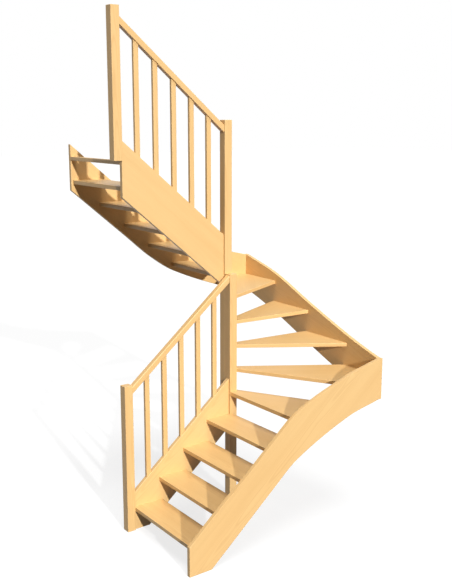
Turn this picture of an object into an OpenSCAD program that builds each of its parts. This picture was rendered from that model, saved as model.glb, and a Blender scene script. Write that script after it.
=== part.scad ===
// Double quarter-turn timber staircase: a straight flight of four treads, a fan of
// winding treads round two central posts, and a straight flight up to the landing.
// The origin is the centre of the start post's foot. +X runs with the lower flight,
// +Y runs from the lower flight to the upper flight, +Z is up.

/* [Storey] */
// Height from the ground floor to the upper floor
floor_to_floor = 2800; // [2300:10:3400]
// Depth of the landing tread, from its nosing to the edge of the upper floor
landing_depth = 40; // [30:1:120]

/* [Flights] */
// Going of a straight tread, from one nosing to the next
going = 224; // [185:1:270]
// Clear width from the lower posts to the lower wall string
lower_width = 788; // [650:1:1100]
// Clear width from the turn posts to the middle wall string
turn_width = 778; // [640:1:1100]
// Clear width from the upper posts to the upper wall string
upper_width = 767; // [630:1:1100]

/* [Treads] */
// Thickness of a tread
tread_t = 30; // [22:1:45]
// How far each tread reaches under the nosing of the next one
overlap = 24; // [10:1:40]
// Depth of the grooves that hold the treads in the strings and posts
housing = 10; // [6:1:14]

/* [Strings] */
// Thickness of the strings along the walls
wall_string_t = 32; // [26:1:45]
// Thickness of the two strings between the posts
inner_string_t = 34; // [28:1:41]
// Setback of the inner strings from the front faces of their posts
inner_setback = 14; // [6:1:18]
// Height of an inner string's top edge above the line of nosings
inner_rise = 112; // [80:1:150]
// Upright depth of an inner string
inner_depth = 409; // [340:1:495]
// Length of the lower wall string in front of the first nosing
string_start = 50; // [20:1:90]
// Height of a wall string's top edge above the first two nosings
lower_rise = 76; // [40:1:110]
// Height of a wall string's top edge above the other nosings
upper_rise = 62; // [40:1:110]
// Drop of a wall string's lower edge below the nosings of a straight flight
straight_drop = 300; // [240:1:360]

/* [Posts] */
// Width of the square posts
post = 68; // [56:1:100]
// Height of the start post's top above the handrail
start_post_over = 15; // [0:1:60]
// Height of the lower turn post's top above the handrail
lower_post_over = 9; // [0:1:60]
// Height of the upper turn post's top above the handrail
upper_post_over = 38; // [0:1:120]
// Height of the landing post's top above the handrail
landing_post_over = 67; // [0:1:120]
// Height of the upper turn post's lower end above the ground floor
upper_post_foot = 700; // [580:10:900]

/* [Balustrade] */
// Height of the handrail's top above the line of nosings
rail_rise = 955; // [790:5:1150]
// Width of the handrail
rail_w = 46; // [38:1:60]
// Upright depth of the handrail
rail_depth = 55; // [40:1:80]
// Width of a baluster, along the flight
baluster_w = 40; // [28:1:60]
// Thickness of a baluster, across the flight
baluster_t = 24; // [18:1:30]

/* [Hidden] */
BALUSTERS = 5;
RISERS = 15;
LAST_STRAIGHT = 4;
FIRST_UPPER = 11;

riser = floor_to_floor / RISERS;
pitch = riser / going;
half = post / 2;
far = 3000;

// Posts: the two turn posts stand back to back
turn_post_inset = 4;
turn_x = half + LAST_STRAIGHT * going - turn_post_inset;
upper_y = post;
lower_face = -half;
upper_face = upper_y + half;
turn_face = turn_x + post;

// Inner faces of the wall strings, and the landing nosing
low_y = lower_face - lower_width;
high_y = upper_face + upper_width;
in_x = turn_face + turn_width;
landing_x = half + landing_depth;

// Inner strings
lower_string_y = lower_face + inner_setback;
upper_string_y = upper_y - half + inner_setback;

// Nosings of the winding treads: the points where they meet the posts and the wall
// strings, as distances along the faces of the posts and from the corners of the stair.
// Skew is how far treads 5 and 11 turn at the wall strings.
skew = 16;
corner_run_6 = 326;
corner_run_7 = 338;
corner_run_8 = 816;
corner_run_9 = 429;
corner_run_10 = 261;
post_run_7 = 57;
post_run_8 = 92;
post_run_9 = 122;

// Rise and drop of a wall string's edges where the winding treads need other values:
// at the two corners of the stair, and below the nosings of treads 6 to 11
corner_rise = [140, 180];
corner_drop = [193, 140];
turn_drop = [268, 284, 284, 284, 275, 264];
EDGE_STEPS = 8;

function lower_nosing(k) = half + (k - 1) * going;
function upper_nosing(k) = landing_x + (RISERS - k) * going;

// Each nosing line runs from its inner end to its outer end
function nosing(k) =
  k <= LAST_STRAIGHT ? [[lower_nosing(k), lower_face], [lower_nosing(k), low_y]] :
  k == 5 ? [[lower_nosing(5), lower_face], [lower_nosing(5) + skew, low_y]] :
  k == 6 ? [[turn_face, lower_face], [in_x - corner_run_6, low_y]] :
  k == 7 ? [[turn_face, lower_face + post_run_7], [in_x, low_y + corner_run_7]] :
  k == 8 ? [[turn_face, lower_face + post_run_8], [in_x, low_y + corner_run_8]] :
  k == 9 ? [[turn_face, lower_face + post_run_9], [in_x, high_y - corner_run_9]] :
  k == 10 ? [[turn_face, upper_face], [in_x - corner_run_10, high_y]] :
  k == 11 ? [[upper_nosing(11), upper_face], [upper_nosing(11) + skew, high_y]] :
  [[upper_nosing(k), upper_face], [upper_nosing(k), high_y]];

function unit(v) = v / norm(v);

// The back edge of a tread lies behind the next nosing by the overlap, and the landing
// tread's lies against the upper floor
function back_edge(k) =
  let (next = nosing(k + 1), along = unit(next[1] - next[0]))
  let (step = overlap * [-along.y, along.x])
  k == RISERS ? [[half, upper_face], [half, high_y]] : [next[0] + step, next[1] + step];

// A point on a line, beyond its outer end
function beyond(line) = line[1] + far * unit(line[1] - line[0]);

// ---- Treads ----

// The open well between the bottoms of the grooves in the wall strings
module well() {
  translate([-far, low_y - housing, -far])
    cube([far + in_x + housing, high_y - low_y + 2 * housing, 3 * far]);
}

// The middle of the two turn posts, which the treads don't reach
module post_core() {
  translate([turn_x + housing, lower_face + housing, -far])
    cube([post - 2 * housing, 2 * post - 2 * housing, 3 * far]);
}

// Where a back edge meets the turn posts: their right face, or from tread 8 on the
// back face of the upper one
function at_post(k, line) =
  let (along = unit(line[1] - line[0]))
  let (reach = k < 8 ? (line[0].x - turn_face) / along.x : (line[0].y - upper_face) / along.y)
  line[0] - reach * along;

// The outline of a winding tread, from the middle of the turn posts outwards. Treads 6
// and 9 fill the corners of the stair.
module winder_outline(k) {
  front = nosing(k);
  back = back_edge(k);
  corner = k == 6 ? [[in_x + far, low_y - far]] : k == 9 ? [[in_x + far, high_y + far]] : [];
  heart = [[turn_x + half, upper_y - half]];
  polygon(concat(heart, [front[0], beyond(front)], corner, [beyond(back), at_post(k, back)]));
}

// The outline of a straight tread, whose inner end is in the groove of an inner string
module straight_outline(k) {
  front = nosing(k);
  back = back_edge(k);
  inner_y = k <= LAST_STRAIGHT ?
    lower_string_y + housing : upper_string_y + inner_string_t - housing;
  polygon([[front[0].x, inner_y], beyond(front), beyond(back), [back[0].x, inner_y]]);
}

module tread(k) {
  color("burlywood")
    difference() {
      intersection() {
        translate([0, 0, k * riser - tread_t])
          linear_extrude(tread_t)
            if (k > LAST_STRAIGHT && k < FIRST_UPPER) winder_outline(k);
            else straight_outline(k);
        well();
      }
      post_core();
    }
}

// The treads of a range, as the solids that their grooves are cut to
module treads(first, last) {
  for (k = [first:last]) tread(k);
}

// ---- Wall strings ----

// Along the wall strings, run is the distance along their inner faces, laid out flat
corner_run = [in_x, in_x + high_y - low_y];
end_run = corner_run[1] + in_x - half;

function wall_run(k) =
  k <= 6 ? nosing(k)[1].x :
  k <= 9 ? corner_run[0] + nosing(k)[1].y - low_y :
  corner_run[1] + in_x - nosing(k)[1].x;

// Stations of the string's edges, as [run, level]: the start, the nosings, the corners
// between them, and the end at the upper floor
stations = concat(
  [[half - string_start, riser - pitch * string_start]],
  [for (k = [1:6]) [wall_run(k), k * riser]],
  [[corner_run[0], 6 * riser]],
  [for (k = [7:9]) [wall_run(k), k * riser]],
  [[corner_run[1], 9 * riser]],
  [for (k = [10:RISERS]) [wall_run(k), k * riser]],
  [[end_run, floor_to_floor + pitch * landing_depth]]);
SECOND_NOSING = 2;
FIRST_CORNER = 7;
SECOND_CORNER = 11;
LAST_STATION = len(stations) - 1;

function rise_at(i) =
  i == FIRST_CORNER ? corner_rise[0] : i == SECOND_CORNER ? corner_rise[1] :
  i <= SECOND_NOSING ? lower_rise : upper_rise;

function drop_at(i) =
  i == FIRST_CORNER ? corner_drop[0] : i == SECOND_CORNER ? corner_drop[1] :
  let (k = i < FIRST_CORNER ? i : i < SECOND_CORNER ? i - 1 : i - 2)
  k < 6 || k > FIRST_UPPER ? straight_drop : turn_drop[k - 6];

top_line = [for (i = [0:LAST_STATION]) stations[i] + [0, rise_at(i)]];
bottom_line = [for (i = [0:LAST_STATION]) stations[i] - [0, drop_at(i)]];

function slope(p, i) =
  let (a = p[max(i - 1, 0)], b = p[min(i + 1, LAST_STATION)])
  (b.y - a.y) / (b.x - a.x);

// A smooth curve through the stations of a line, from one station to the next
function smooth(p, i, u) =
  let (length = p[i + 1].x - p[i].x, v = 1 - u)
  [p[i].x + u * length,
   v * v * (1 + 2 * u) * p[i].y + u * u * (3 - 2 * u) * p[i + 1].y
   + length * u * v * (v * slope(p, i) - u * slope(p, i + 1))];

function edge(p, first, last) = concat(
  [for (i = [first:last - 1], j = [0:EDGE_STEPS - 1]) smooth(p, i, j / EDGE_STEPS)],
  [p[last]]);

function reversed(p) = [for (i = [len(p) - 1:-1:0]) p[i]];

// A string's side, from one station to another, with run measured from a zero point.
// Its ends go level past the stations by lead_in and lead_out, for the corner joints.
module string_side(first, last, zero, lead_in, lead_out) {
  shift = [zero, 0];
  top = [for (q = edge(top_line, first, last)) q - shift];
  bottom = [for (q = edge(bottom_line, first, last)) q - shift];
  start = [-lead_in, 0];
  finish = [lead_out, 0];
  polygon(concat([top[0] + start], top, [top[len(top) - 1] + finish],
                 [bottom[len(bottom) - 1] + finish], reversed(bottom), [bottom[0] + start]));
}

module above_floor() {
  translate([-far, -far, 0]) cube([2 * far, 2 * far, 2 * far]);
}

module lower_wall_string() {
  color("burlywood")
    difference() {
      intersection() {
        translate([0, low_y, 0])
          rotate([90, 0, 0])
            linear_extrude(wall_string_t)
              string_side(0, FIRST_CORNER, 0, 0, wall_string_t);
        above_floor();
      }
      treads(1, 6);
    }
}

module middle_wall_string() {
  color("burlywood")
    difference() {
      translate([in_x, 0, 0])
        rotate([90, 0, 90])
          linear_extrude(wall_string_t)
            string_side(FIRST_CORNER, SECOND_CORNER, in_x - low_y, 0, 0);
      treads(6, 9);
    }
}

module upper_wall_string() {
  color("burlywood")
    difference() {
      translate([0, high_y + wall_string_t, 0])
        rotate([90, 0, 0])
          linear_extrude(wall_string_t)
            mirror([1, 0])
              string_side(SECOND_CORNER, LAST_STATION, corner_run[1] + in_x, wall_string_t, 0);
      treads(9, RISERS);
    }
}

// ---- Inner strings and balustrades ----

// Height of the line of nosings of the lower or the upper flight
function line_at(upper, x) =
  upper ? floor_to_floor + pitch * (landing_x - x) : riser + pitch * (x - half);

function string_middle(upper) =
  (upper ? upper_string_y : lower_string_y) + inner_string_t / 2;

// A board between x0 and x1 whose edges follow the line of nosings, from low to high
module sloped(upper, x0, x1, low, high, thickness) {
  z0 = line_at(upper, x0);
  z1 = line_at(upper, x1);
  translate([0, string_middle(upper) + thickness / 2, 0])
    rotate([90, 0, 0])
      linear_extrude(thickness)
        polygon([[x0, z0 + low], [x1, z1 + low], [x1, z1 + high], [x0, z0 + high]]);
}

module inner_string(upper) {
  sloped(upper, half, turn_x, inner_rise - inner_depth, inner_rise, inner_string_t);
}

module lower_inner_string() {
  color("burlywood")
    difference() {
      intersection() {
        inner_string(false);
        above_floor();
      }
      treads(1, LAST_STRAIGHT);
    }
}

module upper_inner_string() {
  color("burlywood")
    difference() {
      inner_string(true);
      treads(FIRST_UPPER, RISERS);
    }
}

module handrail(upper) {
  color("burlywood")
    sloped(upper, half, turn_x, rail_rise - rail_depth, rail_rise, rail_w);
}

baluster_gap = (turn_x - half - BALUSTERS * baluster_w) / (BALUSTERS + 1);

module baluster(upper, i) {
  x = half + i * baluster_gap + (i - 1) * baluster_w;
  color("tan")
    sloped(upper, x, x + baluster_w, inner_rise, rail_rise - rail_depth, baluster_t);
}

// ---- Posts ----

// A square post on the lower or the upper line of posts, from its foot to its top
module square_post(x, y, foot, top) {
  translate([x, y - half, foot]) cube([post, post, top - foot]);
}

module start_post() {
  color("burlywood")
    square_post(-half, 0, 0, line_at(false, half) + rail_rise + start_post_over);
}

module lower_turn_post() {
  color("burlywood")
    difference() {
      square_post(turn_x, 0, 0, line_at(false, turn_x) + rail_rise + lower_post_over);
      treads(LAST_STRAIGHT, 7);
    }
}

module upper_turn_post() {
  top = line_at(true, turn_x) + rail_rise + upper_post_over;
  color("burlywood")
    difference() {
      square_post(turn_x, upper_y, upper_post_foot, top);
      treads(6, FIRST_UPPER);
    }
}

module landing_post() {
  top = line_at(true, half) + rail_rise + landing_post_over;
  color("burlywood")
    square_post(-half, upper_y, floor_to_floor, top);
}

lower_wall_string();
middle_wall_string();
upper_wall_string();
lower_inner_string();
upper_inner_string();
start_post();
lower_turn_post();
upper_turn_post();
landing_post();
handrail(false);  // lower_handrail
handrail(true);  // upper_handrail
for (i = [1:BALUSTERS]) {
  baluster(false, i);
  baluster(true, i);
}
for (k = [1:RISERS])
  tread(k);
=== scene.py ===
"""Finishes the double quarter-turn timber staircase: eased boards, rounded handrails and
softwood with its growth rings, on a plain pale stage. Run it as a script in Blender 4.5."""

import math
import random

import bmesh
import bpy
from mathutils import Euler, Matrix, Vector


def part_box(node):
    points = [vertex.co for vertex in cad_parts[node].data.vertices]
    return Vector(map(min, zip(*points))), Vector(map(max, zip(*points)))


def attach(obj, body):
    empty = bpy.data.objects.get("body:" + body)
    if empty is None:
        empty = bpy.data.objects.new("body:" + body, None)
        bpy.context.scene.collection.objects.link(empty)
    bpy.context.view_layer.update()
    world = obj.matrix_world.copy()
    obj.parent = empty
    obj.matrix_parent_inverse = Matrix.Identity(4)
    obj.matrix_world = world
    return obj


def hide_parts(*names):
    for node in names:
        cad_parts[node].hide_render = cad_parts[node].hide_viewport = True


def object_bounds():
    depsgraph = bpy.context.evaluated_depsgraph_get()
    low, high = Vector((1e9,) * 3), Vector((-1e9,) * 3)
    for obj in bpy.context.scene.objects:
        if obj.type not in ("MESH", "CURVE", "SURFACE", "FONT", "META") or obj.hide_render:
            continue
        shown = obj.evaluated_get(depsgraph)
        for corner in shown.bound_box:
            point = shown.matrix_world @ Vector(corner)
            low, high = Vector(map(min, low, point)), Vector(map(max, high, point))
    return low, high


bl_info = {
    "name": "Timber Staircase Finish",
    "version": (1, 0, 0),
    "blender": (4, 5, 0),
    "location": "View3D > Sidebar > Staircase",
    "description": "Shapes and finishes the pieces of a double quarter-turn staircase",
    "category": "Object",
}

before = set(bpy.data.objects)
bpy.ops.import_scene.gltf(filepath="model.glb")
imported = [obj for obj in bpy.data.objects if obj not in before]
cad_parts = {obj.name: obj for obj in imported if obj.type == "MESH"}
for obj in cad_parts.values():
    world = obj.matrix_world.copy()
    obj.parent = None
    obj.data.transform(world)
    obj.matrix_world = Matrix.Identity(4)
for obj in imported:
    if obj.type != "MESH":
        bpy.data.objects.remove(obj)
CAD_BOX = [list(corner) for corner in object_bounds()]

X, Y, Z = 0, 1, 2
UP = Vector((0, 0, 1))
MM = 0.001
WHITE = (1.0, 1.0, 1.0, 1.0)

FLIGHTS = ("lower", "upper")
WALL_STRINGS = ("lower_wall_string", "middle_wall_string", "upper_wall_string")
POSTS = ("start_post", "lower_turn_post", "upper_turn_post", "landing_post")
BALUSTERS_A_FLIGHT = 5
TREADS = 15
# The winding treads lie between these two
LAST_STRAIGHT = 4
FIRST_UPPER = 11


# ---- Settings ----

class StaircaseFinish(bpy.types.PropertyGroup):
    """Sizes and colours of the finish."""

    board_arris: bpy.props.FloatProperty(
        name="Board arris", description="Radius of the eased edges of strings and posts",
        default=2.5 * MM, min=0.0, unit="LENGTH")
    nosing_radius: bpy.props.FloatProperty(
        name="Nosing radius", description="Radius of the edges of the treads",
        default=3 * MM, min=0.0, unit="LENGTH")
    baluster_arris: bpy.props.FloatProperty(
        name="Baluster arris", description="Radius of the eased edges of the balusters",
        default=2 * MM, min=0.0, unit="LENGTH")
    rail_round: bpy.props.FloatProperty(
        name="Handrail top", description="Radius of the handrail's two top edges",
        default=6 * MM, min=0.0, unit="LENGTH")
    pale_wood: bpy.props.FloatVectorProperty(
        name="Pale wood", description="Colour of the early wood between the rings",
        default=(0.70, 0.46, 0.196), size=3, min=0.0, max=1.0, subtype="COLOR")
    deep_wood: bpy.props.FloatVectorProperty(
        name="Deep wood", description="Colour of the late wood in the rings",
        default=(0.53, 0.296, 0.10), size=3, min=0.0, max=1.0, subtype="COLOR")
    warm_tint: bpy.props.FloatVectorProperty(
        name="Warm tint", description="Tint of the broad warmer patches",
        default=(1.0, 0.90, 0.78), size=3, min=0.0, max=1.0, subtype="COLOR")
    ring_depth: bpy.props.FloatProperty(
        name="Ring strength", description="How strongly the growth rings show",
        default=0.27, min=0.0, max=1.0, subtype="FACTOR")
    streak_depth: bpy.props.FloatProperty(
        name="Streak strength", description="How strongly the long streaks show",
        default=0.6, min=0.0, max=2.0)
    fibre_depth: bpy.props.FloatProperty(
        name="Fibre strength", description="How strongly the fine fibres show",
        default=0.3, min=0.0, max=1.0, subtype="FACTOR")
    cloud_depth: bpy.props.FloatProperty(
        name="Patch strength", description="How strongly the broad warmer patches show",
        default=0.6, min=0.0, max=2.0)


# ---- Shapes ----

WELD = 0.01 * MM
# How near a plane counts as on it
TOUCH = 0.2 * MM
FLAT_ANGLE = math.radians(0.1)
SHARP_ANGLE = math.radians(30)
# How many flats make up each rounded edge
ARRIS_SEGMENTS = 2
NOSING_SEGMENTS = 3
RAIL_SEGMENTS = 6
# Cosines past which an edge runs along the rail, and a side faces up or down
PARALLEL = 0.99
FACING = 0.5


def merged_copy(node):
    """A copy of a CAD node's mesh, welded, with each flat side as one face."""
    shape = bmesh.new()
    shape.from_mesh(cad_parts[node].data)
    bmesh.ops.remove_doubles(shape, verts=shape.verts, dist=WELD)
    bmesh.ops.dissolve_limit(
        shape, angle_limit=FLAT_ANGLE, verts=shape.verts, edges=shape.edges)
    return shape


def span(item, axis):
    """Lowest and highest value of a face or a mesh along an axis."""
    values = [vertex.co[axis] for vertex in item.verts]
    return min(values), max(values)


def outer_edges(shape, axis):
    """The sharp edges of a piece between its two end planes on an axis. Grooves and pockets
    stay crisp, because their walls neither lie in an end plane nor run from one to the other."""
    low, high = span(shape, axis)

    def outer(face):
        bottom, top = span(face, axis)
        at_low, at_high = bottom < low + TOUCH, top > high - TOUCH
        flat = top - bottom < TOUCH
        return (at_low or at_high) if flat else (at_low and at_high)

    return [
        edge for edge in shape.edges
        if len(edge.link_faces) == 2 and edge.is_convex
        and edge.calc_face_angle() > SHARP_ANGLE and all(outer(face) for face in edge.link_faces)
    ]


def ease(shape, edges, radius, segments):
    """Rounds edges to a radius."""
    bmesh.ops.bevel(
        shape, geom=edges, offset=radius, offset_type="OFFSET", segments=segments,
        profile=0.5, affect="EDGES", clamp_overlap=True, material=-1,
    )


def edge_way(edge):
    """The direction of an edge."""
    return (edge.verts[1].co - edge.verts[0].co).normalized()


def longest_way(edges):
    """The direction of the longest of some edges."""
    return edge_way(max(edges, key=lambda edge: edge.calc_length()))


def pitch_way(flight):
    """The way a flight slopes, from the long edges of its handrail."""
    rail = merged_copy(f"{flight}_handrail")
    way = longest_way(rail.edges)
    rail.free()
    return way


def finish_piece(shape, node, material):
    """Makes a finished shape into an object that stands for its CAD node."""
    mesh = bpy.data.meshes.new(f"{node}_timber")
    for face in shape.faces:
        face.smooth = True
    shape.to_mesh(mesh)
    shape.free()
    mesh.set_sharp_from_angle(angle=SHARP_ANGLE)
    mesh.materials.append(material)
    piece = bpy.data.objects.new(f"{node}_timber", mesh)
    bpy.context.scene.collection.objects.link(piece)
    normals = piece.modifiers.new("even_shading", "WEIGHTED_NORMAL")
    normals.keep_sharp = True
    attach(piece, "root")
    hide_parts(node)


# ---- Shader maths ----

class Wire:
    """A number that a socket carries. Arithmetic on it adds Math nodes."""

    def __init__(self, tree, socket):
        self.tree = tree
        self.socket = socket

    def maths(self, operation, other=0.0, flipped=False):
        """A Math node on this number and another, with the other one first if flipped."""
        node = self.tree.nodes.new("ShaderNodeMath")
        node.operation = operation
        values = (other, self) if flipped else (self, other)
        for place, value in zip(node.inputs, values):
            if isinstance(value, Wire):
                self.tree.links.new(value.socket, place)
            else:
                place.default_value = value
        return Wire(self.tree, node.outputs[0])

    def __add__(self, other):
        return self.maths("ADD", other)

    def __radd__(self, other):
        return self.maths("ADD", other, flipped=True)

    def __sub__(self, other):
        return self.maths("SUBTRACT", other)

    def __rsub__(self, other):
        return self.maths("SUBTRACT", other, flipped=True)

    def __mul__(self, other):
        return self.maths("MULTIPLY", other)

    def __rmul__(self, other):
        return self.maths("MULTIPLY", other, flipped=True)

    def __pow__(self, other):
        return self.maths("POWER", other)

    def __rpow__(self, other):
        return self.maths("POWER", other, flipped=True)


class Finish:
    """The nodes of a material or a world, under construction."""

    def __init__(self, owner):
        self.owner = owner
        owner.use_nodes = True
        self.tree = owner.node_tree
        self.tree.nodes.clear()

    def node(self, kind, settings, **sockets):
        """Adds a node: its settings first, then a value or a link for each socket. A socket
        goes by its name, or by its number after an underscore where several share a name.
        The stops of a ramp are a list of positions and colours."""
        node = self.tree.nodes.new(kind)
        for key, value in settings.items():
            if key == "stops":
                self.set_stops(node.color_ramp, value)
            else:
                setattr(node, key, value)
        for key, value in sockets.items():
            socket = node.inputs[int(key[1:]) if key[0] == "_" else key.replace("_", " ")]
            if isinstance(value, Wire):
                self.tree.links.new(value.socket, socket)
            elif isinstance(value, bpy.types.NodeSocket):
                self.tree.links.new(value, socket)
            else:
                socket.default_value = value
        return node

    @staticmethod
    def set_stops(ramp, stops):
        """Gives a ramp its stops. A new ramp has two."""
        while len(ramp.elements) < len(stops):
            ramp.elements.new(1.0)
        for element, (position, colour) in zip(ramp.elements, stops):
            element.position = position
            element.color = colour

    def vector(self, operation, first, second):
        """Vector maths on two vectors or colours."""
        return self.node(
            "ShaderNodeVectorMath", {"operation": operation}, _0=first, _1=second).outputs[0]

    def wire(self, socket):
        """A socket of this tree as a number for arithmetic."""
        return Wire(self.tree, socket)


# ---- Timber ----

RING_WIDTH = 5.5 * MM
RING_SHARPNESS = 3
RING_RELIEF = 0.5
WANDER = 14 * MM
PORE_DEPTH = 0.25 * MM
BUMP_STRENGTH = 0.35
# Roughness of the early wood, and what the fibres add and the rings take off
ROUGHNESS = 0.42
FIBRE_ROUGHNESS = 0.16
RING_SHEEN = 0.06
COAT_WEIGHT = 0.12
COAT_ROUGHNESS = 0.3
# How often each noise repeats in a metre along the grain, across it and through the board,
# then its detail and its roughness
BEND = ((1.5, 5.25, 5.25), 2.0, 0.5)
FIBRE = ((4.0, 240.0, 240.0), 3.0, 0.6)
STREAK = ((0.9, 16.0, 16.0), 3.0, 0.55)
CLOUD = ((1.2, 3.0, 3.0), 1.0, 0.5)
# The level of each noise that leaves the colour as it is
MIDDLE = 0.5
STREAK_LEVEL = 0.35
CLOUD_LEVEL = 0.3
# Where a piece is cut from its log: how far the pith lies to the side of its middle, as a share
# of its width, and how far below
BOARD_PITH = (0.3, 70 * MM)
POST_PITH = (0.2, 90 * MM)
RAIL_PITH = (0.4, 60 * MM)
BALUSTER_PITH = (0.6, 50 * MM)
# How much one piece may differ from the next
TILT_RANGE = math.radians(1.4)
TURN_RANGE = math.radians(1.0)
PITH_SIDE_RANGE = 0.1
PITH_DEPTH_RANGE = (0.7, 1.4)
START_RANGE = 9.0
TONE_RANGE = 0.04


def rgba(colour):
    """A colour with full alpha."""
    return (*colour, 1.0)


def grain_frame(along, across):
    """Turns object coordinates to the board's own: X along the grain, Y across the board."""
    along = Vector(along).normalized()
    across = Vector(across)
    across = (across - across.dot(along) * along).normalized()
    return Matrix((along, across, along.cross(across)))


def board_coordinates(finish, node, along, across, pith, chance):
    """The board's own coordinates, measured from the pith of its log. Each board leans a little
    in its log and is cut from another part of it."""
    low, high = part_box(node)
    tilt = chance.uniform(-TILT_RANGE, TILT_RANGE)
    lean = Euler((0, tilt, chance.uniform(-TURN_RANGE, TURN_RANGE)))
    turn = lean.to_matrix() @ grain_frame(along, across)
    width = abs(turn[1].dot(high - low))
    pith_side, pith_depth = pith
    side = chance.choice((-1, 1)) * pith_side + chance.uniform(-PITH_SIDE_RANGE, PITH_SIDE_RANGE)
    start = chance.uniform(-START_RANGE, START_RANGE)
    depth = pith_depth * chance.uniform(*PITH_DEPTH_RANGE)
    middle = turn @ ((low + high) / 2)
    return finish.node(
        "ShaderNodeMapping", {"vector_type": "POINT"},
        Vector=finish.node("ShaderNodeTexCoord", {}).outputs["Object"],
        Location=Vector((start, side * width - middle.y, depth - middle.z)),
        Rotation=turn.to_euler(),
    ).outputs[0]


def grain_noise(finish, board, noise):
    """A noise drawn out along the grain."""
    stretch, detail, roughness = noise
    return finish.node(
        "ShaderNodeTexNoise", {"noise_dimensions": "3D"},
        Vector=finish.vector("MULTIPLY", board, stretch),
        Scale=1.0, Detail=detail, Roughness=roughness)


def grain_level(finish, board, noise):
    """A noise drawn out along the grain, as a number."""
    return finish.wire(grain_noise(finish, board, noise).outputs["Fac"])


def ring_wave(finish, board):
    """Rises to 1 at the dark late wood of each growth ring. The log isn't straight, so its
    rings wander along the board."""
    bend = grain_noise(finish, board, BEND).outputs["Color"]
    bend = finish.vector("SUBTRACT", bend, (MIDDLE, MIDDLE, MIDDLE))
    bend = finish.vector("MULTIPLY", bend, (0, 2 * WANDER, 2 * WANDER))
    log = finish.vector("MULTIPLY", finish.vector("ADD", board, bend), (0, 1, 1))
    radius = finish.wire(
        finish.node("ShaderNodeVectorMath", {"operation": "LENGTH"}, _0=log).outputs["Value"])
    wave = (radius * (2 * math.pi / RING_WIDTH)).maths("SINE")
    return (wave * 0.5 + 0.5) ** RING_SHARPNESS


def timber(node, along, across, pith):
    """Softwood sawn from a log whose pith runs beside the piece, so that the sides show long
    arches, the edges straight lines and the ends rings."""
    look = bpy.context.scene.staircase_finish
    chance = random.Random(node)
    finish = Finish(bpy.data.materials.new(f"{node}_softwood"))
    board = board_coordinates(finish, node, along, across, pith, chance)
    late_wood = ring_wave(finish, board)
    fibre = grain_level(finish, board, FIBRE)
    streak = grain_level(finish, board, STREAK)
    cloud = grain_level(finish, board, CLOUD)

    tone = late_wood * look.ring_depth + (streak - STREAK_LEVEL) * look.streak_depth
    tone = tone + (fibre - MIDDLE) * look.fibre_depth + chance.uniform(-TONE_RANGE, TONE_RANGE)
    ground = finish.node(
        "ShaderNodeValToRGB",
        {"stops": [(0.0, rgba(look.pale_wood)), (1.0, rgba(look.deep_wood))]},
        Fac=tone).outputs["Color"]
    colour = finish.node(
        "ShaderNodeMix", {"data_type": "RGBA", "blend_type": "MULTIPLY"},
        _0=(cloud - CLOUD_LEVEL) * look.cloud_depth, _6=ground, _7=rgba(look.warm_tint),
    ).outputs[2]
    bump = finish.node(
        "ShaderNodeBump", {}, Strength=BUMP_STRENGTH, Distance=PORE_DEPTH,
        Height=late_wood * RING_RELIEF + fibre).outputs[0]
    surface = finish.node(
        "ShaderNodeBsdfPrincipled", {}, Base_Color=colour, Normal=bump,
        Roughness=ROUGHNESS + fibre * FIBRE_ROUGHNESS - late_wood * RING_SHEEN,
        Coat_Weight=COAT_WEIGHT, Coat_Roughness=COAT_ROUGHNESS).outputs[0]
    finish.node("ShaderNodeOutputMaterial", {}, Surface=surface)
    return finish.owner


# ---- Pieces ----

class STAIRCASE_OT_wall_strings(bpy.types.Operator):
    """Makes the three wall strings, with eased outer edges and crisp grooves"""

    bl_idname = "staircase.wall_strings"
    bl_label = "Wall Strings"

    def execute(self, context):
        look = context.scene.staircase_finish
        ways = (pitch_way("lower"), self.middle_way(), pitch_way("upper"))
        for node, way, thickness in zip(WALL_STRINGS, ways, (Y, X, Y)):
            shape = merged_copy(node)
            ease(shape, outer_edges(shape, thickness), look.board_arris, ARRIS_SEGMENTS)
            finish_piece(shape, node, timber(node, way, UP, BOARD_PITH))
        return {"FINISHED"}

    @staticmethod
    def middle_way():
        """The way the middle string climbs, from the top of the lower string at one end to its
        own highest point at the other."""
        _, lower_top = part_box("lower_wall_string")
        low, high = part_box("middle_wall_string")
        return Vector((0, high.y - low.y, high.z - lower_top.z))


class STAIRCASE_OT_inner_strings(bpy.types.Operator):
    """Makes the two inner strings between the posts"""

    bl_idname = "staircase.inner_strings"
    bl_label = "Inner Strings"

    def execute(self, context):
        look = context.scene.staircase_finish
        for flight in FLIGHTS:
            node = f"{flight}_inner_string"
            shape = merged_copy(node)
            ease(shape, outer_edges(shape, Y), look.board_arris, ARRIS_SEGMENTS)
            grain = timber(node, pitch_way(flight), UP, BOARD_PITH)
            finish_piece(shape, node, grain)
        return {"FINISHED"}


class STAIRCASE_OT_posts(bpy.types.Operator):
    """Makes the four square posts"""

    bl_idname = "staircase.posts"
    bl_label = "Posts"

    def execute(self, context):
        look = context.scene.staircase_finish
        for node in POSTS:
            shape = merged_copy(node)
            ease(shape, outer_edges(shape, Z), look.board_arris, ARRIS_SEGMENTS)
            finish_piece(shape, node, timber(node, UP, (1, 0, 0), POST_PITH))
        return {"FINISHED"}


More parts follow.
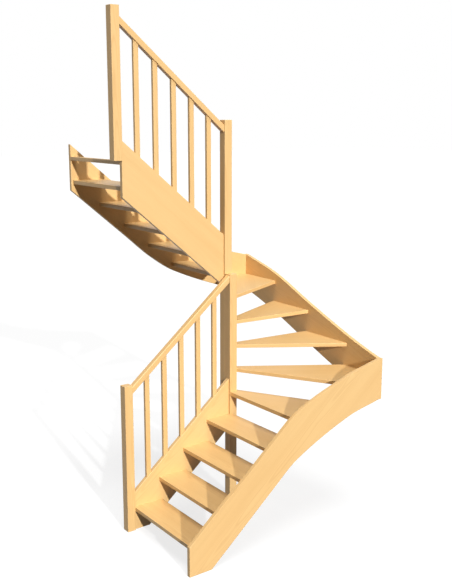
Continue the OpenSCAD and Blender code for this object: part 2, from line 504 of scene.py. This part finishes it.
class STAIRCASE_OT_handrails(bpy.types.Operator):
    """Makes the two handrails, with their top edges rounded for the hand"""

    bl_idname = "staircase.handrails"
    bl_label = "Handrails"

    def execute(self, context):
        look = context.scene.staircase_finish
        for flight in FLIGHTS:
            node = f"{flight}_handrail"
            shape = merged_copy(node)
            way = pitch_way(flight)
            ease(shape, self.long_edges(shape, way, 1), look.rail_round, RAIL_SEGMENTS)
            ease(shape, self.long_edges(shape, way, -1), look.board_arris, ARRIS_SEGMENTS)
            finish_piece(shape, node, timber(node, way, (0, 1, 0), RAIL_PITH))
        return {"FINISHED"}

    @staticmethod
    def long_edges(shape, way, side):
        """The rail's long edges on its top, side 1, or on its underside, side -1."""
        return [
            edge for edge in outer_edges(shape, Y)
            if abs(edge_way(edge).dot(way)) > PARALLEL
            and any(face.normal.z * side > FACING for face in edge.link_faces)
        ]


class STAIRCASE_OT_balusters(bpy.types.Operator):
    """Makes the five flat balusters of each flight"""

    bl_idname = "staircase.balusters"
    bl_label = "Balusters"

    def execute(self, context):
        look = context.scene.staircase_finish
        for flight in FLIGHTS:
            for i in range(1, BALUSTERS_A_FLIGHT + 1):
                node = f"{flight}_baluster_{i}"
                shape = merged_copy(node)
                ease(shape, outer_edges(shape, Y), look.baluster_arris, ARRIS_SEGMENTS)
                grain = timber(node, UP, (1, 0, 0), BALUSTER_PITH)
                finish_piece(shape, node, grain)
        return {"FINISHED"}


class STAIRCASE_OT_treads(bpy.types.Operator):
    """Makes the fifteen treads, with their grain along the nosing"""

    bl_idname = "staircase.treads"
    bl_label = "Treads"

    def execute(self, context):
        look = context.scene.staircase_finish
        for k in range(1, TREADS + 1):
            node = f"tread_{k}"
            shape = merged_copy(node)
            nosing = self.nosing_way(shape, k)
            ease(shape, outer_edges(shape, Z), look.nosing_radius, NOSING_SEGMENTS)
            grain = timber(node, nosing, nosing.cross(UP), BOARD_PITH)
            finish_piece(shape, node, grain)
        return {"FINISHED"}

    @staticmethod
    def nosing_way(shape, k):
        """The way of a tread's nosing: square to a straight flight, and along the longest
        level edge of a winding tread."""
        if k <= LAST_STRAIGHT or k >= FIRST_UPPER:
            return Vector((0, 1, 0))
        return longest_way([
            edge for edge in shape.edges
            if abs(edge.verts[0].co.z - edge.verts[1].co.z) < TOUCH
        ])


# ---- Stage ----

CAMERA_PLACE = (-2.9555, -5.3190, 3.1051)
CAMERA_TURN = (math.radians(78.38), 0.0, math.radians(-36.02))
CAMERA_LENS = 52.51
SENSOR = 36.0
VIEW_DISTANCE = 200.0
# The way that each light shines, its strength and the angle that softens its shadows
KEY_WAY = (0.171, 1.0, -0.375)
KEY_STRENGTH = 3.88
KEY_SOFTNESS = math.radians(1.5)
TOP_WAY = (0.05, 0.25, -1.0)
TOP_STRENGTH = 2.42
TOP_SOFTNESS = math.radians(30)
SKY_STRENGTH = 0.1
FLOOR_SIZE = 60.0
# The floor as it is seen, part lit and part glowing, and as it lights the stair
FLOOR_SHADE = (0.22, 0.22, 0.22, 1.0)
FLOOR_GLOW = 0.79
FLOOR_BOUNCE = (0.08, 0.08, 0.08, 1.0)


def seen_directly(finish):
    """1 on rays from the camera, or from a mirror or glass, and 0 on all others."""
    path = finish.node("ShaderNodeLightPath", {})
    camera = finish.wire(path.outputs["Is Camera Ray"])
    glossy = finish.wire(path.outputs["Is Glossy Ray"])
    through = finish.wire(path.outputs["Is Transmission Ray"])
    return camera.maths("MAXIMUM", glossy).maths("MAXIMUM", through)


class STAIRCASE_OT_stage(bpy.types.Operator):
    """Sets the camera, the lights, a white surround and a pale floor"""

    bl_idname = "staircase.stage"
    bl_label = "Stage"

    def execute(self, context):
        scene = context.scene
        self.camera(scene)
        self.sun(scene, "key_light", KEY_WAY, KEY_STRENGTH, KEY_SOFTNESS)
        self.sun(scene, "top_light", TOP_WAY, TOP_STRENGTH, TOP_SOFTNESS)
        self.surround(scene)
        self.floor(scene)
        scene.view_settings.view_transform = "Standard"
        return {"FINISHED"}

    def camera(self, scene):
        """Looks down a little at the front of the stair, from its left."""
        data = bpy.data.cameras.new("camera")
        data.sensor_width = SENSOR
        data.lens = CAMERA_LENS
        data.clip_end = VIEW_DISTANCE
        camera = bpy.data.objects.new("camera", data)
        camera.location = CAMERA_PLACE
        camera.rotation_euler = CAMERA_TURN
        scene.collection.objects.link(camera)
        scene.camera = camera

    def sun(self, scene, name, way, strength, softness):
        """Adds a sun that shines one way."""
        data = bpy.data.lights.new(name, "SUN")
        data.energy = strength
        data.angle = softness
        light = bpy.data.objects.new(name, data)
        light.rotation_euler = Vector(way).to_track_quat("-Z", "Y").to_euler()
        scene.collection.objects.link(light)

    def surround(self, scene):
        """White where it is seen, and dim where it lights the stair."""
        finish = Finish(bpy.data.worlds.new("surround"))
        scene.world = finish.owner
        strength = seen_directly(finish) * (1 - SKY_STRENGTH) + SKY_STRENGTH
        sky = finish.node(
            "ShaderNodeBackground", {}, Color=WHITE, Strength=strength).outputs[0]
        finish.node("ShaderNodeOutputWorld", {}, Surface=sky)

    def floor(self, scene):
        """A wide floor under the feet of the stair."""
        shape = bmesh.new()
        bmesh.ops.create_grid(shape, x_segments=1, y_segments=1, size=FLOOR_SIZE)
        bmesh.ops.translate(shape, verts=shape.verts, vec=(0, 0, CAD_BOX[0][Z]))
        mesh = bpy.data.meshes.new("floor")
        shape.to_mesh(mesh)
        shape.free()
        mesh.materials.append(self.floor_material())
        floor = bpy.data.objects.new("floor", mesh)
        scene.collection.objects.link(floor)

    def floor_material(self):
        """Near white with a faint shadow where it is seen, and dim where it lights the stair."""
        finish = Finish(bpy.data.materials.new("pale_floor"))
        shade = finish.node("ShaderNodeBsdfDiffuse", {}, Color=FLOOR_SHADE).outputs[0]
        glow = finish.node("ShaderNodeEmission", {}, Strength=FLOOR_GLOW).outputs[0]
        shown = finish.node("ShaderNodeAddShader", {}, _0=shade, _1=glow).outputs[0]
        dim = finish.node("ShaderNodeBsdfDiffuse", {}, Color=FLOOR_BOUNCE).outputs[0]
        floor = finish.node(
            "ShaderNodeMixShader", {}, _0=seen_directly(finish), _1=dim, _2=shown).outputs[0]
        finish.node("ShaderNodeOutputMaterial", {}, Surface=floor)
        return finish.owner


# ---- Panel and run ----

OPERATORS = (
    STAIRCASE_OT_stage,
    STAIRCASE_OT_wall_strings,
    STAIRCASE_OT_inner_strings,
    STAIRCASE_OT_posts,
    STAIRCASE_OT_handrails,
    STAIRCASE_OT_balusters,
    STAIRCASE_OT_treads,
)


class STAIRCASE_PT_panel(bpy.types.Panel):
    """Lists the settings of the staircase and the steps that make it"""

    bl_label = "Staircase"
    bl_space_type = "VIEW_3D"
    bl_region_type = "UI"
    bl_category = "Staircase"

    def draw(self, context):
        for name in StaircaseFinish.__annotations__:
            self.layout.prop(context.scene.staircase_finish, name)
        for operator in OPERATORS:
            self.layout.operator(operator.bl_idname)


CLASSES = (StaircaseFinish, *OPERATORS, STAIRCASE_PT_panel)


def register():
    for item in CLASSES:
        bpy.utils.register_class(item)
    bpy.types.Scene.staircase_finish = bpy.props.PointerProperty(type=StaircaseFinish)


def unregister():
    del bpy.types.Scene.staircase_finish
    for item in reversed(CLASSES):
        bpy.utils.unregister_class(item)


def main():
    register()
    bpy.ops.staircase.stage()
    bpy.ops.staircase.wall_strings()
    bpy.ops.staircase.inner_strings()
    bpy.ops.staircase.posts()
    bpy.ops.staircase.handrails()
    bpy.ops.staircase.balusters()
    bpy.ops.staircase.treads()


if __name__ == "__main__":
    main()
